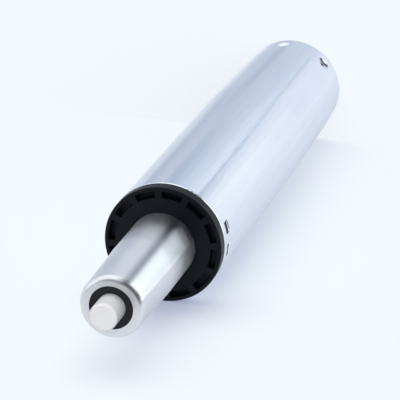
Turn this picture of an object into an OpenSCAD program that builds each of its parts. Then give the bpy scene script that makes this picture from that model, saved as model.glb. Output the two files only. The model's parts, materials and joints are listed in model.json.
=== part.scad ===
// Chair gas lift cylinder: a chromed outer column that wedges into a chair base, a plastic guide
// bush, and a lockable gas spring whose inner column carries the seat. Sizes are in millimetres.
// +Z runs up the column, and the origin is the centre of its bottom rim. The inner column is drawn
// at its lowest height, the rod stands on a ball bearing, and the release button is out.

/* [Outer column] */
// Outside diameter of the outer column
column_d = 50; // [46:0.5:56]
// Wall of the outer column
column_wall = 2; // [1.6:0.1:2.6]
// Length of the outer column
column_len = 204; // [175:1:260]
// Length of the taper that wedges into the chair base
base_taper_len = 78; // [50:1:85]
// Taper ratio of both tapers: length for each unit of diameter
taper_ratio = 20; // [16:1:30]
// Length of the lead-in at the foot of the taper
lead_in_len = 18; // [12:1:25]
// Radius that the lead-in takes off at the rim
lead_in_drop = 0.3; // [0.1:0.05:0.5]
// Width of the lip rolled in under the bottom plate
base_lip_w = 4; // [3:0.5:6]
// Rounding of the bottom rim
base_round = 2; // [1:0.1:3]
// Rounding of the top rim
rim_round = 0.8; // [0.4:0.1:1]

/* [Crimp marks] */
// Height of the upper crimps below the top rim
bush_crimp_drop = 6; // [4:0.5:8]
// Pairs of upper crimps round the column
bush_crimp_pairs = 2; // [1:1:3]
// Turn of the first upper pair from the X axis
bush_crimp_turn = 40; // [0:1:179]
// Angle between the two upper crimps of a pair
bush_crimp_pitch = 22; // [16:0.5:40]
// Arc of one upper crimp
bush_crimp_arc = 12; // [6:0.5:14]
// Radius of the tool that presses the upper crimps
bush_crimp_r = 2.8; // [2:0.1:3.4]
// Pairs of lower crimps round the column
base_crimp_pairs = 3; // [2:1:3]
// Turn of the first lower pair from the X axis
base_crimp_turn = 45.5; // [0:0.5:119.5]
// Angle between the two lower crimps of a pair
base_crimp_pitch = 53; // [30:1:70]
// Radius of the punch that presses the lower crimps
base_crimp_r = 7; // [5:0.5:9]
// Depth of every crimp
crimp_depth = 1.1; // [0.7:0.1:1.3]

/* [Guide bush] */
// Thickness of the flange above the rim
flange_t = 5; // [4:0.5:8]
// Set-back of the flange edge from the column's outside
flange_inset = 0.1; // [0.05:0.05:0.5]
// Rounding of the flange's front edge
flange_round = 0.5; // [0.3:0.1:0.8]
// Length of the sleeve inside the column
bush_len = 80; // [50:1:90]
// Wall of the sleeve around the inner column
bush_wall = 2.6; // [2:0.1:3.5]
// Thickness of each rib of the sleeve
rib_t = 2.4; // [1.6:0.1:3]
// Height of the rings that centre the sleeve
bush_ring_h = 12; // [11:0.5:16]
// Chamfer at the mouth of the bush
bush_mouth = 0.4; // [0.3:0.1:1.2]
// Number of pockets in the flange, and of ribs below it
pocket_count = 12; // [8:1:16]
// Turn of the first pocket from the X axis
pocket_turn = 25.7; // [0:0.1:29.9]
// Share of the pitch that a pocket takes
pocket_share = 0.75; // [0.6:0.01:0.85]
// Radial width of a pocket
pocket_w = 3; // [2:0.1:4]
// Rim of the flange outside the pockets
pocket_rim = 1.6; // [1.2:0.1:2.5]
// Floor under each pocket
pocket_floor = 1; // [0.8:0.1:1.5]

/* [Inner column] */
// Outside diameter of the inner column
inner_d = 28; // [26:0.5:30]
// Wall of the inner column
inner_wall = 2.2; // [2:0.1:2.6]
// Height of the inner column above the flange at its lowest
exposed_len = 66.5; // [55:0.5:90]
// Length of the taper that wedges into the seat plate
seat_taper_len = 38; // [25:1:45]
// Rounding of the rolled top edge
lip_round = 2.2; // [1.6:0.1:2.6]
// Thickness of the rolled lip at the top
lip_t = 1.6; // [1.2:0.1:2]
// Diameter of the mouth in the top
mouth_d = 18; // [16.6:0.2:19.4]
// Rounding of the lower edge
foot_round = 1.5; // [1:0.1:2]
// Travel from the lowest height to the highest
stroke = 100; // [60:1:110]

/* [Release valve] */
// Diameter of the release button
button_d = 11.4; // [10:0.2:13.6]
// Height of the button above the top of the inner column
button_h = 10; // [6:0.2:12]
// Rounding of the button's top edge
button_round = 1; // [0.4:0.1:1.4]
// Travel of the button
press = 4; // [3:0.5:5]
// Depth of the valve cap's face below the top of the inner column
cap_recess = 0.5; // [0.3:0.1:1.2]
// Thickness of the valve cap under the lip
cap_t = 4; // [3:0.5:6]
// Height of the valve body
valve_h = 22; // [20:1:28]
// Length of the spigot of the valve body inside the gas cylinder
spigot_len = 6; // [5:0.5:9]
// Diameter of the release pin
pin_d = 4; // [3:0.5:5]
// Cord of the sealing rings around the valve body
ring_cord = 1.8; // [1.4:0.1:2]
// Cord of the sealing rings around the release pin
pin_ring_cord = 1.2; // [1:0.1:1.6]
// Diameter of the gas port across the valve body
port_d = 2; // [1.5:0.1:2.5]
// Room for gas round the pin below the port
port_room = 1; // [0.8:0.1:1.4]
// Depth of the gas port below the ring round the pin
port_drop = 4; // [3.5:0.1:5]
// Depth of the ring round the pin below the button's well
pin_ring_drop = 3; // [2.5:0.1:4]
// Length of the button below the valve cap
button_reach = 1; // [0.5:0.1:1.5]
// Depth of the pin in the button
pin_grip = 8; // [6:0.5:9]
// Height of the pin's head
pin_head_h = 2.4; // [2:0.1:3]

/* [Gas spring] */
// Gas passage between the inner column and the gas cylinder
gas_gap = 1.4; // [1:0.1:1.8]
// Wall of the gas cylinder
cylinder_wall = 1.4; // [1:0.1:1.8]
// Diameter of the piston rod
rod_d = 10; // [8:0.5:11]
// Step at each end of the rod
rod_step = 1.2; // [0.8:0.1:1.6]
// Length of the piston
piston_len = 14; // [12:0.5:20]
// Thickness of the washer on top of the piston
piston_washer_t = 1.5; // [1:0.1:2.5]
// Height of the riveted end of the rod
rivet_h = 2; // [1.5:0.1:3]
// Height of the rod guide
guide_h = 10; // [8:0.5:14]
// Height of the rod seal
seal_h = 6; // [5:0.5:8]
// Height of the ring that carries the gas cylinder
support_h = 4; // [3:0.5:6]
// Thickness of the backing washer under the rod guide
backing_t = 2; // [1.5:0.1:3]
// Clearance of the rod in the foot of the inner column
foot_gap = 1; // [0.5:0.1:1.5]
// Set-back of the piston's washer from its edge
washer_inset = 2; // [1:0.1:2.5]
// Width of the gas notches under the gas cylinder
notch_w = 2; // [1:0.1:3]
// Depth of the gas notches
notch_h = 1.5; // [1:0.1:2]

/* [Swivel bearing] */
// Diameter of the bearing balls
ball_d = 4; // [3:0.25:5]
// Least space between two balls
ball_space = 0.7; // [0.6:0.1:1.5]
// Depth of the ball grooves in the races
groove_depth = 0.6; // [0.4:0.05:0.8]
// Thickness of each race
race_t = 1.6; // [1.4:0.1:2.5]
// Land on each side of the ball groove
race_land = 1.4; // [1.2:0.1:2.5]
// Thickness of the ball cage
cage_t = 1.8; // [1.2:0.1:2]
// Thickness of the washer under the bumper
thrust_washer_t = 2; // [1.5:0.1:3]
// Height of the rubber bumper
bumper_h = 8.5; // [6:0.5:12]
// Width of the rubber bumper around the rod
bumper_w = 5.4; // [4:0.1:6]

/* [Bottom plate and clip] */
// Thickness of the bottom plate
plate_t = 3; // [2.5:0.1:4]
// Rise of the middle of the plate above its rim
plate_rise = 5; // [4.5:0.1:6]
// Thickness of the clip and of its washer
clip_t = 1.2; // [0.8:0.1:1.4]
// Width of the clip around the rod
clip_w = 3.4; // [2.5:0.1:4.5]
// Depth of the clip's groove in the rod
clip_groove = 0.8; // [0.5:0.1:1]
// Space round the clip in the plate's recess
clip_room = 1.5; // [1:0.1:2]
// Height of the rod's end above the rolled lip
tail_gap = 0.5; // [0.3:0.1:0.8]
// Opening of the clip as a share of its seat
clip_mouth = 0.8; // [0.7:0.01:0.9]

/* [Fits] */
// Running clearance of a sliding or turning fit, on the radius
run_gap = 0.06; // [0.03:0.01:0.09]
// Clearance of a piece that is only assembled, on the radius
fit_gap = 0.1; // [0.05:0.01:0.2]
// Gap between a stop and what meets it
stop_gap = 0.3; // [0.2:0.05:0.5]
// Gap around each bearing ball
ball_gap = 0.03; // [0.02:0.01:0.06]

/* [Hidden] */
$fn = 96;
eps = 0.01;
rib_root = 0.5;

// Half of a size, for radii
column_r = column_d / 2;
inner_r = inner_d / 2;
mouth_r = mouth_d / 2;
button_r = button_d / 2;
pin_r = pin_d / 2;
rod_r = rod_d / 2;
ball_r = ball_d / 2;

// A taper moves the radius by this much for each unit of length, and the lead-in by more
slope = 1 / (2 * taper_ratio);
lead_in_slope = slope + lead_in_drop / lead_in_len;
function slant(k) = sqrt(1 + k * k);

// Radii from the axis outwards
rod_end_r = rod_r - rod_step;
inner_bore_r = inner_r - inner_wall;
cylinder_r = inner_bore_r - gas_gap;
cylinder_bore_r = cylinder_r - cylinder_wall;
piston_r = cylinder_bore_r - run_gap;
packing_r = inner_bore_r - fit_gap;
spigot_r = cylinder_bore_r - fit_gap;
foot_hole_r = rod_r + foot_gap;
bush_bore_r = inner_r + run_gap;
sleeve_r = bush_bore_r + bush_wall;
column_bore_r = column_r - column_wall;
bush_r = column_bore_r - fit_gap;
flange_r = column_r - flange_inset;
pocket_out_r = flange_r - pocket_rim;
pocket_in_r = pocket_out_r - pocket_w;
function base_r(z) = column_r - max(0, base_taper_len - z) * slope
    - max(0, lead_in_len - z) * (lead_in_slope - slope);
function base_bore_r(z) = base_r(z) - column_wall;
base_lip_r = base_bore_r(column_wall) - base_lip_w;
ball_circle_r = rod_end_r + fit_gap + race_land + ball_r;
race_in_r = rod_end_r + fit_gap;
race_out_r = ball_circle_r + ball_r + race_land;
clip_r = rod_end_r + clip_w;
plate_recess_r = clip_r + clip_room;
plate_step_r = max(plate_recess_r + plate_t, race_out_r + clip_room / 2);

// Half the height of a round mark that is pressed to the crimps' depth
function mark_half(r) = sqrt(2 * r * crimp_depth - crimp_depth * crimp_depth);

// Each crimp raises a bump inside the wall, which keeps its thickness: half the bumps' heights
bush_bump_half = mark_half(bush_crimp_r + column_wall);
base_bump_half = mark_half(base_crimp_r + column_wall);

// Heights from the bottom rim upwards
plate_z = column_wall;
plate_mid_z = plate_z + plate_rise;
clip_washer_z = plate_mid_z - stop_gap - clip_t;
clip_z = clip_washer_z - run_gap - clip_t;
lower_race_z = plate_mid_z + plate_t;
race_space = ball_d - 2 * groove_depth + 2 * ball_gap;
ball_z = lower_race_z + race_t + race_space / 2;
upper_race_z = lower_race_z + race_t + race_space;
thrust_washer_z = upper_race_z + race_t;
bumper_z = thrust_washer_z + thrust_washer_t;
inner_foot_z = bumper_z + bumper_h + stop_gap;
backing_z = inner_foot_z + inner_wall;
guide_z = backing_z + backing_t;
seal_z = guide_z + guide_h;
support_z = seal_z + seal_h;
cylinder_z = support_z + support_h;
piston_z = cylinder_z + stroke + stop_gap;
rivet_z = piston_z + piston_len + piston_washer_t;
flange_z = column_len;
inner_top_z = column_len + flange_t + exposed_len;
seat_taper_z = inner_top_z - seat_taper_len;
cap_top_z = inner_top_z - cap_recess;
cap_z = inner_top_z - lip_t - cap_t;
valve_z = cap_z - valve_h;
button_top_z = inner_top_z + button_h;
bush_crimp_z = column_len - bush_crimp_drop;
base_crimp_z = plate_z + plate_t + stop_gap + base_bump_half;

// Levels inside the valve body, from its top down
button_z = cap_z - button_reach;
button_well_z = button_z - press - stop_gap;
pin_ring_z = button_well_z - pin_ring_drop;
port_z = pin_ring_z - port_drop;
neck_z = port_z + port_d;
port_room_r = pin_r + port_room;
seat_z = valve_z - spigot_len;
valve_ring_z = (neck_z + cap_z) / 2;
spigot_ring_z = valve_z - spigot_len / 2;
function ring_middle(r_out, cord) = r_out - run_gap - cord / 2;

// Colours
chrome = "lightgray";
steel = "silver";
zinc = "darkgray";
brass = "goldenrod";
black_plastic = [0.10, 0.10, 0.11];
white_plastic = [0.90, 0.90, 0.87];
rubber = [0.14, 0.14, 0.15];

// A round plate with a hole, its lower face at z
module washer(r_in, r_out, z, h) {
    translate([0, 0, z]) difference() {
        cylinder(h = h, r = r_out);
        translate([0, 0, -eps]) cylinder(h = h + 2 * eps, r = r_in);
    }
}

// A sealing ring of round cord, its middle at z
module cord_ring(r_middle, cord, z) {
    translate([0, 0, z]) rotate_extrude() translate([r_middle, 0]) circle(r = cord / 2);
}

// The shape cut for such a ring: a square groove with room on every side
module ring_groove(r_middle, cord, z) {
    half = cord / 2 + run_gap;
    translate([0, 0, z]) rotate_extrude() translate([r_middle - half, -half])
        square([2 * half + cord, 2 * half]);
}

// Children set round the axis at each crimp of every pair
module at_bush_crimps() {
    for (pair = [0 : bush_crimp_pairs - 1], side = [-0.5, 0.5])
        rotate(bush_crimp_turn + pair * 360 / bush_crimp_pairs + side * bush_crimp_pitch)
            translate([0, 0, bush_crimp_z]) children();
}

module at_base_crimps() {
    for (pair = [0 : base_crimp_pairs - 1], side = [-0.5, 0.5])
        rotate(base_crimp_turn + pair * 360 / base_crimp_pairs + side * base_crimp_pitch)
            translate([0, 0, base_crimp_z]) children();
}

// One upper crimp: a short arc of round section; grown by the wall, it is the bump inside
module bush_crimp(grow) {
    arc = bush_crimp_arc + 2 * grow / column_r * 180 / PI;
    rotate(-arc / 2) rotate_extrude(angle = arc)
        translate([column_r - crimp_depth + bush_crimp_r, 0]) circle(r = bush_crimp_r + grow);
}

// One lower crimp: a round punch mark; grown by the wall, it is the bump inside
module base_crimp(grow) {
    translate([base_r(base_crimp_z) - crimp_depth + base_crimp_r, 0]) rotate([0, 90, 0])
        sphere(r = base_crimp_r + grow);
}

// The part of a bump that lies inside the middle of the wall, whose outside radius is r
module inside_wall(r) {
    intersection() {
        children();
        cylinder(h = 2 * (base_bump_half + bush_bump_half), r = r - column_wall / 2, center = true);
    }
}

// Outline of the outer column's wall: a straight tube, a taper, a lead-in and a lip rolled in below
module column_outline() {
    foot_slant = slant(lead_in_slope);
    round_r = base_r(base_round) - base_round * foot_slant;
    difference() {
        union() {
            polygon([
                [base_lip_r, 0], [round_r, 0], [round_r, base_round],
                [round_r + base_round / foot_slant, base_round * (1 - lead_in_slope / foot_slant)],
                [base_r(lead_in_len), lead_in_len],
                [column_r, base_taper_len], [column_r, column_len - rim_round],
                [column_r - rim_round, column_len - rim_round], [column_r - rim_round, column_len],
                [base_lip_r, column_len]
            ]);
            translate([round_r, base_round]) circle(r = base_round);
            translate([column_r - rim_round, column_len - rim_round]) circle(r = rim_round);
        }
        polygon([
            [0, column_wall], [base_bore_r(column_wall), column_wall],
            [base_bore_r(lead_in_len), lead_in_len],
            [column_bore_r, base_taper_len], [column_bore_r, column_len + eps], [0, column_len + eps]
        ]);
    }
}

// Outer column: chromed steel tube, dented to hold the bush above and the plate below
module outer_column() {
    color(chrome) difference() {
        union() {
            rotate_extrude() column_outline();
            at_bush_crimps() inside_wall(column_r) bush_crimp(column_wall);
            at_base_crimps() inside_wall(base_r(base_crimp_z)) base_crimp(column_wall);
        }
        at_bush_crimps() bush_crimp(0);
        at_base_crimps() base_crimp(0);
    }
}

// Bottom plate: a pressed plate between the rolled lip and the crimps, raised round the rod's hole
module bottom_plate() {
    top_z = plate_z + plate_t;
    color(zinc) rotate_extrude() polygon([
        [race_in_r, plate_mid_z], [plate_recess_r, plate_mid_z], [plate_recess_r, plate_z],
        [base_bore_r(plate_z) - fit_gap, plate_z], [base_bore_r(top_z) - fit_gap, top_z],
        [plate_step_r, top_z], [plate_step_r, lower_race_z], [race_in_r, lower_race_z]
    ]);
}

// Sector pocket in the flange, centred on the X axis
module flange_pocket() {
    arc = pocket_share * 360 / pocket_count;
    translate([0, 0, flange_z + pocket_floor]) rotate(-arc / 2) rotate_extrude(angle = arc)
        translate([pocket_in_r, 0]) square([pocket_w, flange_t]);
}

// Outline of the bush without its ribs: flange, sleeve and the two rings that centre it
module bush_outline() {
    top_z = flange_z + flange_t;
    foot_z = flange_z - bush_len;
    difference() {
        union() {
            polygon([
                [bush_bore_r, foot_z], [bush_r, foot_z], [bush_r, foot_z + bush_ring_h],
                [sleeve_r, foot_z + bush_ring_h], [sleeve_r, flange_z - bush_ring_h],
                [bush_r, flange_z - bush_ring_h], [bush_r, flange_z], [flange_r, flange_z],
                [flange_r, top_z - flange_round], [flange_r - flange_round, top_z - flange_round],
                [flange_r - flange_round, top_z], [bush_bore_r + bush_mouth, top_z],
                [bush_bore_r, top_z - bush_mouth]
            ]);
            translate([flange_r - flange_round, top_z - flange_round]) circle(r = flange_round);
        }
        groove_h = 2 * (bush_bump_half + fit_gap);
        translate([bush_r - crimp_depth, bush_crimp_z - groove_h / 2])
            square([column_wall, groove_h]);
    }
}

// Guide bush: black plastic sleeve with ribs, and a flange with pockets over the rim
module guide_bush() {
    pitch = 360 / pocket_count;
    color(black_plastic) difference() {
        union() {
            rotate_extrude() bush_outline();
            for (i = [0 : pocket_count - 1]) rotate(pocket_turn + (i + 0.5) * pitch)
                translate([sleeve_r - rib_root, -rib_t / 2, flange_z - bush_len + bush_ring_h / 2])
                    cube([bush_r - sleeve_r, rib_t, bush_len - bush_ring_h]);
        }
        for (i = [0 : pocket_count - 1]) rotate(pocket_turn + i * pitch) flange_pocket();
    }
}

// Outline of the inner column's wall: tapered top with a rolled lip, and a lip rolled in below
module inner_outline() {
    round_z = inner_top_z - lip_round;
    top_slant = slant(slope);
    round_r = inner_r - (round_z - seat_taper_z) * slope - lip_round * top_slant;
    foot_r = inner_r - foot_round;
    difference() {
        union() {
            polygon([
                [foot_hole_r, inner_foot_z], [foot_r, inner_foot_z],
                [foot_r, inner_foot_z + foot_round], [inner_r, inner_foot_z + foot_round],
                [inner_r, seat_taper_z],
                [round_r + lip_round / top_slant, round_z + lip_round * slope / top_slant],
                [round_r, round_z], [round_r, inner_top_z], [foot_hole_r, inner_top_z]
            ]);
            translate([foot_r, inner_foot_z + foot_round]) circle(r = foot_round);
            translate([round_r, round_z]) circle(r = lip_round);
        }
        translate([0, backing_z]) square([inner_bore_r, inner_top_z - lip_t - backing_z]);
        translate([0, inner_top_z - lip_t - eps]) square([mouth_r, lip_t + 2 * eps]);
    }
}

// Inner column: ground steel tube that carries the seat
module inner_column() {
    color(steel) rotate_extrude() inner_outline();
}

// Gas cylinder: thin tube in which the piston slides
module gas_cylinder() {
    color(steel) washer(cylinder_bore_r, cylinder_r, cylinder_z, valve_z - cylinder_z);
}

// Valve cap: black plastic plug under the rolled lip, with the button's hole
module valve_cap() {
    hole_r = button_r + fit_gap;
    color(black_plastic) {
        difference() {
            union() {
                translate([0, 0, cap_z]) cylinder(h = cap_t, r = packing_r);
                translate([0, 0, cap_z]) cylinder(h = cap_top_z - cap_z, r = mouth_r - fit_gap);
            }
            translate([0, 0, cap_z - eps]) cylinder(h = cap_t + lip_t + 2 * eps, r = hole_r);
        }
    }
}

// Valve body: turned block with the button's well, the pin's bore, a gas port and ring grooves
module valve_body() {
    well_r = button_r + fit_gap;
    pin_ring_out_r = pin_r + 2 * run_gap + pin_ring_cord;
    color(brass) difference() {
        union() {
            translate([0, 0, neck_z]) cylinder(h = cap_z - neck_z, r = packing_r);
            translate([0, 0, valve_z]) cylinder(h = neck_z - valve_z + eps, r = cylinder_r);
            translate([0, 0, seat_z]) cylinder(h = spigot_len + eps, r = spigot_r);
        }
        translate([0, 0, seat_z - eps]) cylinder(h = cap_z - seat_z, r = pin_r + run_gap);
        translate([0, 0, seat_z - eps]) cylinder(h = neck_z - seat_z, r = port_room_r);
        translate([0, 0, button_well_z]) cylinder(h = cap_z - button_well_z + eps, r = well_r);
        translate([0, 0, port_z]) rotate([0, 90, 0])
            cylinder(h = 2 * inner_r, r = port_d / 2, center = true);
        ring_groove(ring_middle(inner_bore_r, ring_cord), ring_cord, valve_ring_z);
        ring_groove(ring_middle(cylinder_bore_r, ring_cord), ring_cord, spigot_ring_z);
        translate([0, 0, pin_ring_z])
            cylinder(h = pin_ring_cord + 2 * run_gap, r = pin_ring_out_r, center = true);
    }
}

// Sealing rings of the valve body: one against the inner column, one against the gas cylinder
module valve_body_rings() {
    color(rubber) {
        cord_ring(ring_middle(inner_bore_r, ring_cord), ring_cord, valve_ring_z);
        cord_ring(ring_middle(cylinder_bore_r, ring_cord), ring_cord, spigot_ring_z);
    }
}

// Release button: white plastic cap on the pin, with a rounded top edge
module release_button() {
    round_r = button_r - button_round;
    round_z = button_top_z - button_round;
    color(white_plastic) rotate_extrude() difference() {
        union() {
            translate([0, button_z]) square([button_r, round_z - button_z]);
            translate([0, button_z]) square([round_r, button_top_z - button_z]);
            translate([round_r, round_z]) circle(r = button_round);
        }
        translate([0, button_z - eps]) square([pin_r + run_gap, pin_grip + run_gap + eps]);
        translate([-button_r, 0]) square([button_r, button_top_z + eps]);
    }
}

// Release pin: steel pin from the button down to a head that closes the valve from below
module release_pin() {
    head_z = seat_z - pin_ring_cord - 2 * run_gap - pin_head_h;
    color(steel) {
        translate([0, 0, head_z]) cylinder(h = pin_head_h, r = port_room_r + pin_ring_cord);
        translate([0, 0, head_z]) cylinder(h = button_z + pin_grip - head_z, r = pin_r);
    }
}

// Sealing ring in the valve body round the pin
module pin_ring() {
    color(rubber) cord_ring(pin_r + run_gap + pin_ring_cord / 2, pin_ring_cord, pin_ring_z);
}

// Sealing ring on the pin's head, against the seat of the valve body
module seat_ring() {
    color(rubber)
        cord_ring(port_room_r + pin_ring_cord / 2, pin_ring_cord, seat_z - run_gap - pin_ring_cord / 2);
}

// Piston: turned disc on the rod, with a groove for its ring
module piston() {
    color(zinc) difference() {
        washer(rod_end_r + run_gap, piston_r, piston_z, piston_len);
        ring_groove(ring_middle(cylinder_bore_r, ring_cord), ring_cord, piston_z + piston_len / 2);
    }
}

module piston_ring() {
    color(rubber)
        cord_ring(ring_middle(cylinder_bore_r, ring_cord), ring_cord, piston_z + piston_len / 2);
}

module piston_washer() {
    out_r = piston_r - washer_inset;
    color(steel) washer(rod_end_r + run_gap, out_r, piston_z + piston_len, piston_washer_t);
}

// Piston rod: stepped at both ends, riveted over the piston and grooved for the clip
module piston_rod() {
    tail_z = plate_z + tail_gap;
    color(steel) difference() {
        union() {
            translate([0, 0, bumper_z]) cylinder(h = piston_z - bumper_z, r = rod_r);
            translate([0, 0, tail_z]) cylinder(h = rivet_z - tail_z, r = rod_end_r);
            translate([0, 0, rivet_z]) cylinder(h = rivet_h, r1 = rod_r, r2 = rod_end_r);
        }
        translate([0, 0, clip_z - run_gap])
            washer(rod_end_r - clip_groove, rod_r, 0, clip_t + 2 * run_gap);
    }
}

// Rod guide: plastic bearing that keeps the rod central in the foot of the inner column
module rod_guide() {
    color(white_plastic) washer(rod_r + run_gap, packing_r, guide_z, guide_h);
}

// Rod seal: rubber packing with a lip groove open to the gas
module rod_seal() {
    lip = (packing_r - rod_r) / 3;
    color(rubber) difference() {
        washer(rod_r + run_gap, packing_r, seal_z, seal_h);
        translate([0, 0, seal_z + seal_h / 2]) rotate_extrude() polygon([
            [rod_r + 1.5 * lip, 0], [rod_r + 2 * lip, seal_h], [rod_r + lip, seal_h]
        ]);
    }
}

// Ring that carries the gas cylinder, notched so that gas passes under the cylinder's end
module cylinder_support() {
    color(white_plastic) difference() {
        washer(rod_r + 2 * fit_gap, packing_r, support_z, support_h);
        for (a = [0, 90]) rotate(a)
            translate([-inner_r, -notch_w / 2, cylinder_z - notch_h])
                cube([inner_d, notch_w, notch_h + eps]);
    }
}

module backing_washer() {
    color(steel) washer(rod_r + 2 * fit_gap, packing_r, backing_z, backing_t);
}

// Bumper: rubber buffer round the rod, waisted in the middle
module bumper() {
    in_r = rod_r + fit_gap;
    out_r = rod_r + bumper_w;
    waist = bumper_w / 5;
    color(rubber) rotate_extrude() polygon([
        [in_r, bumper_z], [out_r, bumper_z], [out_r, bumper_z + bumper_h / 4],
        [out_r - waist, bumper_z + bumper_h / 2], [out_r, bumper_z + bumper_h * 3 / 4],
        [out_r, bumper_z + bumper_h], [in_r, bumper_z + bumper_h]
    ]);
}

module thrust_washer() {
    color(steel) washer(race_in_r, race_out_r, thrust_washer_z, thrust_washer_t);
}

// Bearing race with its ball groove, its lower face at z
module race(z) {
    color(steel) difference() {
        washer(race_in_r, race_out_r, z, race_t);
        translate([0, 0, ball_z]) rotate_extrude() translate([ball_circle_r, 0])
            circle(r = ball_r + ball_gap);
    }
}

module upper_race() {
    race(upper_race_z);
}

module lower_race() {
    race(lower_race_z);
}

// Children set round the ball circle, as many as fit
module at_balls() {
    count = floor(2 * PI * ball_circle_r / (ball_d + ball_space));
    for (i = [0 : count - 1]) rotate(i * 360 / count) translate([ball_circle_r, 0, ball_z]) children();
}

// Ball cage: plastic ring with a pocket for each ball
module ball_cage() {
    rim = ball_r + race_land / 2;
    color(white_plastic) difference() {
        washer(ball_circle_r - rim, ball_circle_r + rim, ball_z - cage_t / 2, cage_t);
        at_balls() cylinder(h = cage_t + 2 * eps, r = ball_r + ball_gap, center = true);
    }
}

module bearing_balls() {
    color(chrome) at_balls() sphere(r = ball_r);
}

module clip_washer() {
    color(zinc) washer(race_in_r, clip_r, clip_washer_z, clip_t);
}

// Retaining clip: a horseshoe that snaps into the rod's groove from one side
module retaining_clip() {
    seat_r = rod_end_r - clip_groove + run_gap;
    color(steel) translate([0, 0, clip_z]) linear_extrude(clip_t) difference() {
        circle(r = clip_r);
        circle(r = seat_r);
        translate([0, -seat_r * clip_mouth]) square([clip_r + eps, 2 * seat_r * clip_mouth]);
    }
}

outer_column();
bottom_plate();
guide_bush();
inner_column();
gas_cylinder();
valve_cap();
valve_body();
valve_body_rings();
release_button();
release_pin();
pin_ring();
seat_ring();
piston();
piston_ring();
piston_washer();
piston_rod();
rod_guide();
rod_seal();
cylinder_support();
backing_washer();
bumper();
thrust_washer();
upper_race();
ball_cage();
bearing_balls();
lower_race();
clip_washer();
retaining_clip();
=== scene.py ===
import json
import math

import bpy
from mathutils import Matrix, Vector

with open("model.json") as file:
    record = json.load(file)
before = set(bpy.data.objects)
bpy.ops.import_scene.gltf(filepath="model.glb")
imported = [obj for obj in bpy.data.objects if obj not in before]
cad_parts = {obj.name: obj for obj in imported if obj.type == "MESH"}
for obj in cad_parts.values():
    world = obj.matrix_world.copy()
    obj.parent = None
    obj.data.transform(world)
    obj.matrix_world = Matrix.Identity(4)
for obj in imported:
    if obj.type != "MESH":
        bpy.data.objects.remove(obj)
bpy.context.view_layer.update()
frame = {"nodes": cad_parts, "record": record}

# Directions round the column, in degrees from +X: the side that faces up in the photograph, and the
# photograph's left. The camera stands on the -Y side.
UP_SIDE = 305.7
LEFT_SIDE = UP_SIDE + 90
UPRIGHT = Vector((0, 0, 1))

# The outer column in metres, as in part.scad. A slope is the radius lost per metre below its top.
COLUMN_R, COLUMN_LEN = 0.025, 0.204
TAPER_TOP, TAPER_SLOPE = 0.078, 0.025
LEAD_IN_TOP, LEAD_IN_SLOPE = 0.018, 0.0167
FOOT_RIM, HEAD_RIM = 0.004, 0.0025

# The crimps as depths below the wall: where a painted highlight lies on their edge, and where a
# painted shade on their floor begins, which is deeper for the marks near the foot than for those near
# the head.
CRIMP_HIGHLIGHT_EDGE = (0.0001, 0.0003)
FOOT_SHADE_DEPTH, HEAD_SHADE_DEPTH, SHADE_FADE_DEPTH = 0.00093, 0.0004, 0.00015
FOOT_MARKS_BELOW, HEAD_MARKS_ABOVE = 0.05, 0.15

# The camera that fits the column's edges in the photograph: degrees, metres and photograph pixels.
CAMERA_ELEVATION, CAMERA_ROLL = 63.15, 219.3
CAMERA_AIM, CAMERA_DISTANCE = Vector((0, 0, 0.152)), 1.1356
AIM_LEFT, AIM_DOWN = 0.00105, 0.00167
FOCAL_PX, PHOTO_PX, SENSOR_MM = 2665, 400, 36


def flat(angle):
    a = math.radians(angle)
    return Vector((math.cos(a), math.sin(a), 0))


def make_camera():
    elevation, roll = math.radians(CAMERA_ELEVATION), math.radians(CAMERA_ROLL)
    back = Vector((0, -math.cos(elevation), math.sin(elevation)))
    level = Vector((1, 0, 0))
    right = math.cos(roll) * level + math.sin(roll) * back.cross(level)
    up = back.cross(right)
    data = bpy.data.cameras.new("camera")
    data.sensor_width = SENSOR_MM
    data.lens = FOCAL_PX / PHOTO_PX * SENSOR_MM
    data.clip_start, data.clip_end = 0.05, 50
    camera = bpy.data.objects.new("camera", data)
    bpy.context.scene.collection.objects.link(camera)
    turn = Matrix((right, up, back)).transposed().to_4x4()
    aim = CAMERA_AIM - right * AIM_LEFT - up * AIM_DOWN
    camera.matrix_world = Matrix.Translation(aim + back * CAMERA_DISTANCE) @ turn
    bpy.context.scene.camera = camera


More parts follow.
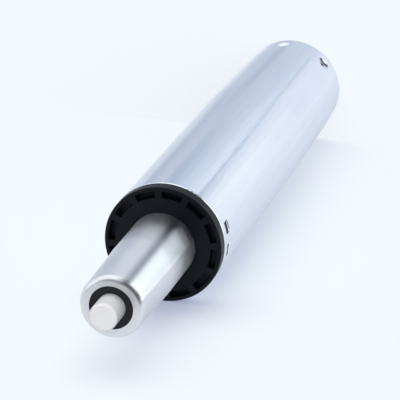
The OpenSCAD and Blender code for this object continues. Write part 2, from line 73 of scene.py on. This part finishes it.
class Nodes:
    """A small builder for one node tree."""

    def __init__(self, tree):
        self.tree = tree
        tree.nodes.clear()

    def add(self, kind, **values):
        node = self.tree.nodes.new(kind)
        for key, value in values.items():
            setattr(node, key, value)
        return node

    def put(self, value, socket):
        """Links a socket, or sets a plain value; None leaves the socket as it is."""
        if isinstance(value, bpy.types.NodeSocket):
            self.tree.links.new(value, socket)
        elif value is not None:
            socket.default_value = (*value, 1) if socket.type == "RGBA" else value

    def math(self, operation, a, b=None, clamp=False):
        node = self.add("ShaderNodeMath", operation=operation, use_clamp=clamp)
        self.put(a, node.inputs[0])
        self.put(b, node.inputs[1])
        return node.outputs[0]

    def dot(self, vector, direction):
        node = self.add("ShaderNodeVectorMath", operation="DOT_PRODUCT")
        self.put(vector, node.inputs[0])
        self.put(direction, node.inputs[1])
        return node.outputs["Value"]

    def span(self, value, low, high, start=0.0, end=1.0):
        """Goes from low to high as the value goes from start to end, and stays there beyond."""
        node = self.add("ShaderNodeMapRange")
        self.put(value, node.inputs["Value"])
        self.put(start, node.inputs["From Min"])
        self.put(end, node.inputs["From Max"])
        self.put(low, node.inputs["To Min"])
        self.put(high, node.inputs["To Max"])
        return node.outputs["Result"]

    def share(self, value, start, end):
        return self.span(value, 0.0, 1.0, start, end)

    def ramp(self, factor, stops, interpolation="LINEAR"):
        """A ramp of colours; a plain number is a grey."""
        node = self.add("ShaderNodeValToRGB")
        node.color_ramp.interpolation = interpolation
        elements = node.color_ramp.elements
        while len(elements) < len(stops):
            elements.new(0.5)
        for element, (position, tone) in zip(elements, stops):
            colour = tone if isinstance(tone, tuple) else (tone, tone, tone)
            element.position = position
            element.color = (*colour, 1)
        self.put(factor, node.inputs[0])
        return node.outputs[0]

    def place(self, stretch=(1, 1, 1)):
        """The object's own coordinates, in metres times the stretch."""
        mapping = self.add("ShaderNodeMapping")
        self.put(stretch, mapping.inputs["Scale"])
        self.put(self.add("ShaderNodeTexCoord").outputs["Object"], mapping.inputs["Vector"])
        return mapping.outputs["Vector"]

    def noise(self, scale, detail=3.0, roughness=0.5, stretch=(1, 1, 1)):
        node = self.add("ShaderNodeTexNoise")
        self.put(self.place(stretch), node.inputs["Vector"])
        self.put(scale, node.inputs["Scale"])
        self.put(detail, node.inputs["Detail"])
        self.put(roughness, node.inputs["Roughness"])
        return node.outputs["Fac"]

    def mix(self, factor, a, b):
        node = self.add("ShaderNodeMix", data_type="RGBA")
        self.put(factor, node.inputs["Factor"])
        self.put(a, node.inputs["A"])
        self.put(b, node.inputs["B"])
        return node.outputs["Result"]

    def bump(self, height, strength, distance):
        node = self.add("ShaderNodeBump")
        self.put(height, node.inputs["Height"])
        self.put(strength, node.inputs["Strength"])
        self.put(distance, node.inputs["Distance"])
        return node.outputs["Normal"]

    def glow(self, colour, strength=None):
        node = self.add("ShaderNodeEmission")
        self.put(colour, node.inputs["Color"])
        self.put(strength, node.inputs["Strength"])
        return node.outputs[0]

    def mix_shader(self, factor, a, b):
        node = self.add("ShaderNodeMixShader")
        for value, socket in zip((factor, a, b), node.inputs):
            self.put(value, socket)
        return node.outputs[0]

    def end(self, shader, kind="ShaderNodeOutputMaterial"):
        self.put(shader, self.add(kind).inputs["Surface"])


def new_material(name):
    material = bpy.data.materials.new(name)
    material.use_nodes = True
    return material, Nodes(material.node_tree)


def surface(n, colour, roughness, normal, metallic, tangent=None, **constants):
    """Ends a material: the constants are plain numbers and colours, the same all over."""
    shader = n.add("ShaderNodeBsdfPrincipled")
    n.put(colour, shader.inputs["Base Color"])
    n.put(roughness, shader.inputs["Roughness"])
    n.put(metallic, shader.inputs["Metallic"])
    n.put(normal, shader.inputs["Normal"])
    n.put(tangent, shader.inputs["Tangent"])
    for key, value in constants.items():
        n.put(value, shader.inputs[key.replace("_", " ")])
    n.end(shader.outputs[0])


def crimp_depth(n):
    """How far a point lies below the plain wall, as only crimps do, and its height."""
    split = n.add("ShaderNodeSeparateXYZ")
    n.put(n.place(), split.inputs[0])
    x, y, z = split.outputs
    radius = n.math("SQRT", n.math("ADD", n.math("MULTIPLY", x, x), n.math("MULTIPLY", y, y)))
    wall = COLUMN_R
    for top, slope in ((TAPER_TOP, TAPER_SLOPE), (LEAD_IN_TOP, LEAD_IN_SLOPE)):
        below = n.math("MAXIMUM", n.math("SUBTRACT", top, z), 0.0)
        wall = n.math("SUBTRACT", wall, n.math("MULTIPLY", below, slope))
    above_foot = n.math("GREATER_THAN", z, FOOT_RIM)
    below_head = n.math("LESS_THAN", z, COLUMN_LEN - HEAD_RIM)
    depth = n.math("SUBTRACT", wall, radius)
    return n.math("MULTIPLY", depth, n.math("MULTIPLY", above_foot, below_head)), z


def chrome_material():
    """Drawn tube under chrome: faint long waves and streaks, a painted highlight on the crimps' edges,
    and painted shade on their floors, which are also rougher.
    """
    material, n = new_material("chrome")
    wave = n.noise(3.0, 4.0, 0.6, stretch=(60, 60, 6))
    streak = n.noise(1.0, 4.0, 0.6, stretch=(420, 420, 8))
    cloud = n.math("MULTIPLY", n.noise(45.0), 0.35)
    cloud = n.math("ADD", cloud, n.math("MULTIPLY", streak, 0.65))
    depth, height = crimp_depth(n)
    # Painted highlight on the crimps' edges: the chrome's colour is made paler there.
    edge = n.share(depth, *CRIMP_HIGHLIGHT_EDGE)
    shade_from = n.span(height, FOOT_SHADE_DEPTH, HEAD_SHADE_DEPTH, FOOT_MARKS_BELOW, HEAD_MARKS_ABOVE)
    # Painted shade on the crimps' floors: the colour is darkened there, and the roughness raised.
    shaded_rough_pit = n.share(n.math("SUBTRACT", depth, shade_from), 0.0, SHADE_FADE_DEPTH)
    colour = n.mix(n.share(cloud, 0.3, 0.7), (0.765, 0.795, 0.85), (0.835, 0.865, 0.92))
    colour = n.mix(edge, colour, (0.93, 0.94, 0.95))
    colour = n.mix(shaded_rough_pit, colour, (0.06, 0.063, 0.07))
    rough = n.math("ADD", n.span(wave, 0.06, 0.10, 0.3, 0.7), n.math("MULTIPLY", shaded_rough_pit, 0.25))
    surface(n, colour, rough, n.bump(wave, 0.28, 0.0005), 1.0, Specular_Tint=(0.95, 0.965, 0.985))
    return material


def ground_steel_material():
    """Steel ground round and round, so that its gloss is drawn out along the column."""
    material, n = new_material("ground_steel")
    rings = n.noise(5.0, 4.0, 0.6, stretch=(6, 6, 900))
    patch = n.noise(90.0, 4.0)
    colour = n.mix(patch, (0.74, 0.745, 0.76), (0.82, 0.825, 0.84))
    around = n.add("ShaderNodeTangent", direction_type="RADIAL", axis="Z").outputs[0]
    surface(n, colour, n.span(patch, 0.19, 0.23, 0.3, 0.7), n.bump(rings, 0.05, 0.0001), 1.0, around,
            Anisotropic=1.0, Anisotropic_Rotation=0.25)
    return material


def grained_material(name, grain, colours, rough, bump, cloud=None, metallic=0.0, **constants):
    """Fine grain in gloss and relief, and a slower cloud in the colour, or else the grain in both.

    grain and cloud are what Nodes.noise takes, rough what Nodes.span takes, bump strength and depth.
    """
    material, n = new_material(name)
    fine = n.noise(**grain)
    colour = n.mix(n.noise(**cloud) if cloud else fine, *colours)
    surface(n, colour, n.span(fine, *rough), n.bump(fine, *bump), metallic, **constants)
    return material


BLACK_PLASTIC = dict(
    grain=dict(scale=2600.0, roughness=0.6), cloud=dict(scale=120.0),
    rough=(0.34, 0.46, 0.3, 0.7), bump=(0.25, 0.0001), Specular_IOR_Level=0.15)
GRAINED = {
    "bright_steel": dict(
        grain=dict(scale=4.0, stretch=(10, 10, 1400)),
        colours=((0.66, 0.66, 0.67), (0.76, 0.76, 0.77)),
        rough=(0.18, 0.28), bump=(0.08, 0.0001), metallic=1.0),
    "plated_steel": dict(
        grain=dict(scale=320.0, detail=5.0, roughness=0.65), cloud=dict(scale=60.0),
        colours=((0.50, 0.51, 0.52), (0.66, 0.66, 0.65)),
        rough=(0.30, 0.46), bump=(0.15, 0.0002), metallic=1.0),
    "black_plastic": dict(
        BLACK_PLASTIC, colours=((0.0028, 0.0042, 0.0062), (0.004, 0.0056, 0.008))),
    "cap_plastic": dict(
        BLACK_PLASTIC, colours=((0.013, 0.014, 0.017), (0.019, 0.020, 0.024))),
    "white_plastic": dict(
        grain=dict(scale=1800.0), cloud=dict(scale=150.0),
        colours=((0.80, 0.793, 0.768), (0.84, 0.833, 0.812)),
        rough=(0.36, 0.48), bump=(0.12, 0.0001), Subsurface_Weight=0.08, Subsurface_Scale=0.002),
    "bearing_plastic": dict(
        grain=dict(scale=1500.0), cloud=dict(scale=140.0),
        colours=((0.66, 0.64, 0.58), (0.74, 0.72, 0.66)),
        rough=(0.38, 0.5), bump=(0.15, 0.0001)),
    "brass": dict(
        grain=dict(scale=4.0, stretch=(8, 8, 1100)), cloud=dict(scale=110.0),
        colours=((0.66, 0.48, 0.22), (0.78, 0.60, 0.32)),
        rough=(0.22, 0.34), bump=(0.1, 0.0001), metallic=1.0),
    "rubber": dict(
        grain=dict(scale=1700.0, detail=4.0, roughness=0.6),
        colours=((0.016, 0.016, 0.018), (0.030, 0.030, 0.032)),
        rough=(0.6, 0.8), bump=(0.3, 0.0001)),
}
# Nodes with a finish of their own within their material slot.
OWN_FINISH = {"valve_cap": "cap_plastic"}


def dress_nodes():
    made = {"chrome": chrome_material(), "ground_steel": ground_steel_material()}
    for name, values in GRAINED.items():
        made[name] = grained_material(name, **values)
    for part in frame["record"]["subparts"]:
        finish = OWN_FINISH.get(part["node"], part["material_slot"])
        materials = frame["nodes"][part["node"]].data.materials
        materials.clear()
        materials.append(made[finish])


# The pale background that the camera sees, the unlit part of the studio, and the light that falls
# on matt surfaces from all sides.
SWEEP = (0.896, 0.947, 0.991)
ROOM = (0.12, 0.13, 0.15)
AMBIENT = (0.33, 0.35, 0.40)

# The photograph's part lies on a table. Here it stands, so the table is an upright sheet that it
# touches. Each paper has a tone that takes shadows and an even tone.
FLOOR_HALF = 6
FLOOR_PAPER, FLOOR_EVEN = (0.295, 0.308, 0.315), (0.643, 0.679, 0.709)
TABLE_HALF_WIDTH, TABLE_HALF_HEIGHT, TABLE_GAP = 0.26, 3, 0.00005
TABLE_PAPER, TABLE_EVEN = (0.774, 0.80, 0.638), (0.22, 0.235, 0.40)

# How much of the table's shadows is taken away towards both ends of the part, from the foot upwards.
SHADOW_FADE_TOP = 0.26
SHADOW_FADE = [(0.0, 0.4), (0.65, 0.0), (0.84, 0.0), (0.96, 0.4)]

# What metal mirrors of the table is painted: tones that glow for reflections only, from right to left
# across the sheet, a painted shadow where the column touches it, and tones beyond the column's upper
# end, upwards. The fades are heights.
PAINTED_REFLECTION_SHARE = 0.8
TABLE_REFLECTION_TONES = [
    (0.00, (0.97, 1.01, 1.11)), (0.19, (0.93, 0.97, 1.07)), (0.35, (0.88, 0.92, 1.02)),
    (0.40, (0.83, 0.87, 0.98)), (0.445, (0.74, 0.78, 0.89)), (0.47, (0.62, 0.65, 0.75)),
    (0.487, (0.50, 0.53, 0.61)), (0.524, (0.54, 0.57, 0.65)), (0.568, (0.74, 0.78, 0.85)),
    (0.61, (0.84, 0.89, 0.95)), (0.66, (0.83, 0.87, 0.93)), (0.74, (0.75, 0.80, 0.87)),
    (1.00, (0.67, 0.73, 0.82)),
]
CONTACT_SHADOW = [(0.487, 0.0), (0.507, 1.0), (0.524, 0.95), (0.566, 0.0)]
CONTACT_SHADOW_TONE, CONTACT_FADE = (0.10, 0.11, 0.14), (0.15, 0.27)
BEYOND_FADE, BEYOND_SPAN = (0.254, 0.274), (0.25, 0.45)
BEYOND_REFLECTION_TONES = [
    (0.29, (0.88, 0.91, 0.97)), (0.42, (0.74, 0.77, 0.83)), (0.58, (0.60, 0.63, 0.68)),
    (1.00, (0.36, 0.38, 0.42)),
]


def speckled(n, paper):
    return n.mix(n.noise(30.0, 2.0), paper, tuple(c * 0.995 for c in paper))


def paper_shader(n, path, colour, even):
    """Paper that keeps shadows, with an even tone added for the camera and for reflections."""
    diffuse = n.add("ShaderNodeBsdfDiffuse")
    n.put(colour, diffuse.inputs["Color"])
    shown = n.math("ADD", path["Is Camera Ray"], path["Is Glossy Ray"], clamp=True)
    shown = n.math("ADD", shown, path["Is Transmission Ray"], clamp=True)
    lit = n.add("ShaderNodeAddShader")
    n.put(diffuse.outputs[0], lit.inputs[0])
    n.put(n.glow(even, shown), lit.inputs[1])
    return lit.outputs[0]


def floor_material():
    material, n = new_material("floor_paper")
    path = n.add("ShaderNodeLightPath").outputs
    n.end(paper_shader(n, path, speckled(n, FLOOR_PAPER), FLOOR_EVEN))
    return material


def table_material():
    """The table, which shows from its front only."""
    material, n = new_material("backdrop_paper")
    path = n.add("ShaderNodeLightPath").outputs
    height = n.dot(n.place(), UPRIGHT)
    sideways = n.share(n.dot(n.place(), flat(LEFT_SIDE)), -TABLE_HALF_WIDTH, TABLE_HALF_WIDTH)

    fade = n.ramp(n.share(height, 0.0, SHADOW_FADE_TOP), SHADOW_FADE)
    colour = n.mix(fade, speckled(n, TABLE_PAPER), (0, 0, 0))
    paper = paper_shader(n, path, colour, n.mix(fade, TABLE_EVEN, SWEEP))

    # Painted reflection: tones that glow for reflections only, with a painted shadow where the column
    # touches the table.
    low = n.span(height, 1.0, 0.0, *CONTACT_FADE)
    painted_contact_shadow = n.math("MULTIPLY", n.ramp(sideways, CONTACT_SHADOW), low)
    tone = n.mix(painted_contact_shadow, n.ramp(sideways, TABLE_REFLECTION_TONES), CONTACT_SHADOW_TONE)
    beyond = n.ramp(n.share(height, *BEYOND_SPAN), BEYOND_REFLECTION_TONES)
    tone = n.mix(n.share(height, *BEYOND_FADE), tone, beyond)
    painted_reflection_share = n.math("MULTIPLY", path["Is Glossy Ray"], PAINTED_REFLECTION_SHARE)
    front = n.mix_shader(painted_reflection_share, paper, n.glow(tone))

    looked_at = n.math("ADD", path["Is Camera Ray"], path["Is Glossy Ray"], clamp=True)
    behind = n.math("MULTIPLY", looked_at, n.add("ShaderNodeNewGeometry").outputs["Backfacing"])
    n.end(n.mix_shader(behind, front, n.add("ShaderNodeBsdfTransparent").outputs[0]))
    return material


def sheet(name, centre, across, along, half_across, half_along, material, hidden_from):
    """A flat piece of the stage, which the named kinds of ray pass."""
    mesh = bpy.data.meshes.new(name)
    points = [centre + across * (i * half_across) + along * (j * half_along)
              for i, j in ((-1, -1), (1, -1), (1, 1), (-1, 1))]
    mesh.from_pydata([tuple(p) for p in points], [], [(0, 1, 2, 3)])
    mesh.materials.append(material)
    obj = bpy.data.objects.new(name, mesh)
    bpy.context.scene.collection.objects.link(obj)
    for ray in hidden_from:
        setattr(obj, "visible_" + ray, False)


def make_stage():
    """Floor and table. They cast no shadow, because two of the lamps stand below the floor."""
    sheet("floor", Vector((0, 0, 0)), Vector((1, 0, 0)), Vector((0, 1, 0)), FLOOR_HALF, FLOOR_HALF,
          floor_material(), ("glossy", "diffuse", "shadow"))
    sheet("backdrop", flat(UP_SIDE) * -(COLUMN_R + TABLE_GAP), flat(LEFT_SIDE), UPRIGHT,
          TABLE_HALF_WIDTH, TABLE_HALF_HEIGHT, table_material(), ("diffuse", "shadow"))


# A soft lit panel low in front of the inner column: where it stands, half its size across and along,
# how much of each is its soft edge, and its tone.
STRIP_SIDE, STRIP_DROP = UP_SIDE - 65, 35
STRIP_AIM, STRIP_DISTANCE = Vector((0, 0, 0.24)), 0.4
STRIP_HALF, STRIP_EDGE = (0.23, 0.16), (0.22, 0.32)
STRIP_TONE = (2.2, 2.39, 2.53)


def make_strip():
    """The panel is a near object that only metal mirrors, so that the crimps don't all catch it."""
    drop = math.radians(STRIP_DROP)
    toward = flat(STRIP_SIDE) * math.cos(drop) - UPRIGHT * math.sin(drop)
    across = flat(STRIP_SIDE + 90)
    along = toward.cross(across)
    centre = STRIP_AIM + toward * STRIP_DISTANCE
    material, n = new_material("strip_glow")
    soft = []
    for way, half, edge in zip((across, along), STRIP_HALF, STRIP_EDGE):
        middle = centre.dot(way)
        reach = n.share(n.dot(n.place(), way), middle - half, middle + half)
        soft.append(n.ramp(reach, [(0, 0), (edge, 1), (1 - edge, 1), (1, 0)], "EASE"))
    clear = n.add("ShaderNodeBsdfTransparent").outputs[0]
    n.end(n.mix_shader(n.math("MULTIPLY", *soft), clear, n.glow(STRIP_TONE)))
    sheet("strip", centre, across, along, *STRIP_HALF, material, ("camera", "diffuse", "shadow"))


# The studio that metal mirrors, as tones round the column: degrees from the photograph's up towards
# its left, and a colour. What the barrel mirrors comes first.
BARREL_TONES = [
    (-180, (0.90, 0.95, 1.05)), (-84, (1.0, 1.05, 1.11)), (-64, (1.02, 1.07, 1.12)),
    (-52, (0.97, 1.03, 1.10)), (-40, (0.87, 0.94, 1.06)), (-33, (0.85, 0.92, 1.05)),
    (-31.5, (0.66, 0.73, 0.87)), (-28.5, (0.66, 0.73, 0.87)), (-26.5, (0.86, 0.94, 1.07)),
    (-16, (0.86, 0.94, 1.07)), (-2, (0.74, 0.80, 0.91)), (14, (0.67, 0.735, 0.835)),
    (50, (0.63, 0.685, 0.79)), (76, (0.58, 0.63, 0.74)), (82, (0.60, 0.65, 0.76)),
    (92, (0.72, 0.78, 0.87)), (116, (0.80, 0.86, 0.93)), (180, (0.90, 0.95, 1.0)),
]
HEAD_TONES = [
    (-180, (0.90, 0.95, 1.05)), (-84, (0.97, 1.02, 1.09)), (-68, (1.03, 1.09, 1.12)),
    (-54, (0.98, 1.03, 1.10)), (-44, (0.84, 0.90, 0.99)), (-34, (0.63, 0.70, 0.80)),
    (-29, (0.56, 0.63, 0.74)), (-25.5, (0.92, 1.0, 1.10)), (-8, (0.77, 0.86, 0.98)),
    (6, (0.65, 0.75, 0.89)), (28, (0.48, 0.57, 0.70)), (36, (0.50, 0.585, 0.71)),
    (46, (0.63, 0.69, 0.80)), (54, (0.65, 0.70, 0.81)), (76, (0.54, 0.60, 0.70)),
    (84, (0.60, 0.66, 0.76)), (92, (0.70, 0.76, 0.85)), (116, (0.82, 0.87, 0.94)),
    (180, (0.90, 0.95, 1.0)),
]
LOWER_TONES = [
    (-180, (0.895, 0.945, 1.055)), (-46, (0.895, 0.945, 1.055)), (-38, (0.86, 0.91, 1.02)),
    (-31, (0.80, 0.86, 0.97)), (-27, (0.67, 0.73, 0.85)), (-24, (0.67, 0.73, 0.85)),
    (-20, (0.77, 0.84, 0.96)), (-6, (0.69, 0.76, 0.885)), (26, (0.66, 0.725, 0.84)),
    (40, (0.61, 0.69, 0.81)), (48, (0.55, 0.61, 0.725)), (53, (0.55, 0.61, 0.725)),
    (62, (0.60, 0.66, 0.77)), (90, (0.65, 0.71, 0.81)), (116, (0.76, 0.82, 0.89)),
    (180, (0.90, 0.95, 1.0)),
]
LEAD_IN_TONES = [
    (-180, (0.91, 0.945, 1.05)), (-50, (0.91, 0.945, 1.05)), (-30, (0.79, 0.84, 0.94)),
    (-10, (0.73, 0.78, 0.88)), (40, (0.67, 0.72, 0.82)), (90, (0.76, 0.81, 0.89)),
    (180, (0.90, 0.95, 1.0)),
]
INNER_TONES = [
    (-180, (0.86, 0.90, 0.97)), (-98, (0.86, 0.90, 0.97)), (-90, (0.45, 0.48, 0.52)),
    (-42, (0.45, 0.48, 0.52)), (-31, (0.42, 0.46, 0.55)), (-22, (0.42, 0.46, 0.55)),
    (-14, (0.60, 0.635, 0.73)), (-4, (0.77, 0.81, 0.91)), (8, (0.82, 0.88, 0.95)),
    (28, (0.77, 0.83, 0.91)), (44, (0.62, 0.68, 0.80)), (54, (0.575, 0.64, 0.76)),
    (76, (0.57, 0.635, 0.75)), (100, (0.675, 0.72, 0.82)), (120, (0.82, 0.86, 0.95)),
    (180, (0.86, 0.90, 0.97)),
]
NEAR_TONES = [
    (-180, (0.86, 0.90, 0.97)), (-102, (0.86, 0.90, 0.97)), (-94, ROOM), (-22, ROOM),
    (-8, (1.04, 1.09, 1.17)), (25, (0.98, 1.03, 1.11)), (50, (0.72, 0.77, 0.87)),
    (85, (0.72, 0.77, 0.87)), (110, (0.86, 0.90, 0.97)), (180, (0.86, 0.90, 0.97)),
]
SOFT_BOXES = [
    (-180, (0.80, 0.84, 0.90)), (-152, (0.84, 0.88, 0.94)), (-146, (0.34, 0.36, 0.40)),
    (-130, (0.30, 0.32, 0.36)), (-124, (0.92, 0.95, 1.0)), (-84, (0.92, 0.95, 1.0)),
    (-76, (0.42, 0.44, 0.49)), (-66, (0.46, 0.48, 0.53)), (-54, (0.94, 0.97, 1.02)),
    (-38, (0.94, 0.97, 1.02)), (-30, (0.44, 0.46, 0.51)), (-18, (0.44, 0.46, 0.51)),
    (4, (1.30, 1.34, 1.40)), (26, (1.20, 1.24, 1.30)), (60, (0.96, 1.0, 1.06)),
    (112, (0.86, 0.90, 0.95)), (118, (0.36, 0.38, 0.42)), (138, (0.30, 0.32, 0.36)),
    (146, (0.82, 0.86, 0.92)), (180, (0.80, 0.84, 0.90)),
]
CEILING = [
    (-180, ROOM), (-20, ROOM), (6, (1.15, 1.20, 1.27)), (92, (1.15, 1.20, 1.27)), (120, ROOM),
    (180, ROOM),
]
# The layers over the barrel's tones, and where each takes over: the z of a ray's direction, from -1
# for straight down to 1 for straight up, between which it fades in.
LAYERS = [
    (HEAD_TONES, -0.908, -0.892), (LOWER_TONES, -0.903, -0.914), (LEAD_IN_TONES, -0.938, -0.952),
    (INNER_TONES, -0.883, -0.877), (NEAR_TONES, -0.80, -0.66), (SOFT_BOXES, -0.48, -0.16),
    (CEILING, 0.20, 0.42),
]
ZENITH = (0.80, 0.88)


def make_world():
    """The studio for metal, plain ambient light for matt surfaces, and the sweep for the camera."""
    world = bpy.data.worlds.new("studio")
    bpy.context.scene.world = world
    world.use_nodes = True
    world.cycles.sampling_method = "NONE"
    n = Nodes(world.node_tree)
    way = n.add("ShaderNodeTexCoord").outputs["Generated"]
    rise = n.dot(way, UPRIGHT)
    turn = n.math("ARCTAN2", n.dot(way, flat(LEFT_SIDE)), n.dot(way, flat(UP_SIDE)))
    around = n.share(turn, -math.pi, math.pi)

    def tones(stops):
        return n.ramp(around, [((angle + 180) / 360, colour) for angle, colour in stops])

    seen = tones(BARREL_TONES)
    for stops, start, end in LAYERS:
        seen = n.mix(n.share(rise, start, end), seen, tones(stops))
    seen = n.mix(n.share(rise, *ZENITH), seen, ROOM)
    path = n.add("ShaderNodeLightPath").outputs
    soft = n.mix(path["Is Glossy Ray"], AMBIENT, seen)
    light = n.add("ShaderNodeBackground")
    n.put(n.mix(path["Is Camera Ray"], soft, SWEEP), light.inputs["Color"])
    n.end(light.outputs[0], "ShaderNodeOutputWorld")


# Large soft discs, which metal doesn't mirror: name, diameter, watts, colour, azimuth and elevation.
LAMPS = [
    ("key", 2.4, 29.5, (1.0, 0.99, 0.96), UP_SIDE + 30, -8),
    ("fill", 3.2, 53.0, (1.0, 1.0, 1.0), UP_SIDE - 1, -12),
    ("front", 2.4, 98.0, (1.0, 1.0, 1.0), 270, 75),
]
LAMP_AIM, LAMP_DISTANCE = Vector((0, 0, 0.14)), 4.0


def make_lights():
    for name, diameter, watts, colour, azimuth, elevation in LAMPS:
        data = bpy.data.lights.new(name, "AREA")
        data.shape = "DISK"
        data.size = diameter
        data.energy = watts
        data.color = colour
        lamp = bpy.data.objects.new(name, data)
        bpy.context.scene.collection.objects.link(lamp)
        rise = math.radians(elevation)
        toward = flat(azimuth) * math.cos(rise) + UPRIGHT * math.sin(rise)
        lamp.location = LAMP_AIM + toward * LAMP_DISTANCE
        lamp.rotation_mode = "QUATERNION"
        lamp.rotation_quaternion = (-toward).to_track_quat("-Z", "Y")
        lamp.visible_camera = False
        lamp.visible_glossy = False


make_camera()
dress_nodes()
make_stage()
make_strip()
make_world()
make_lights()
bpy.context.scene.view_settings.view_transform = "Standard"
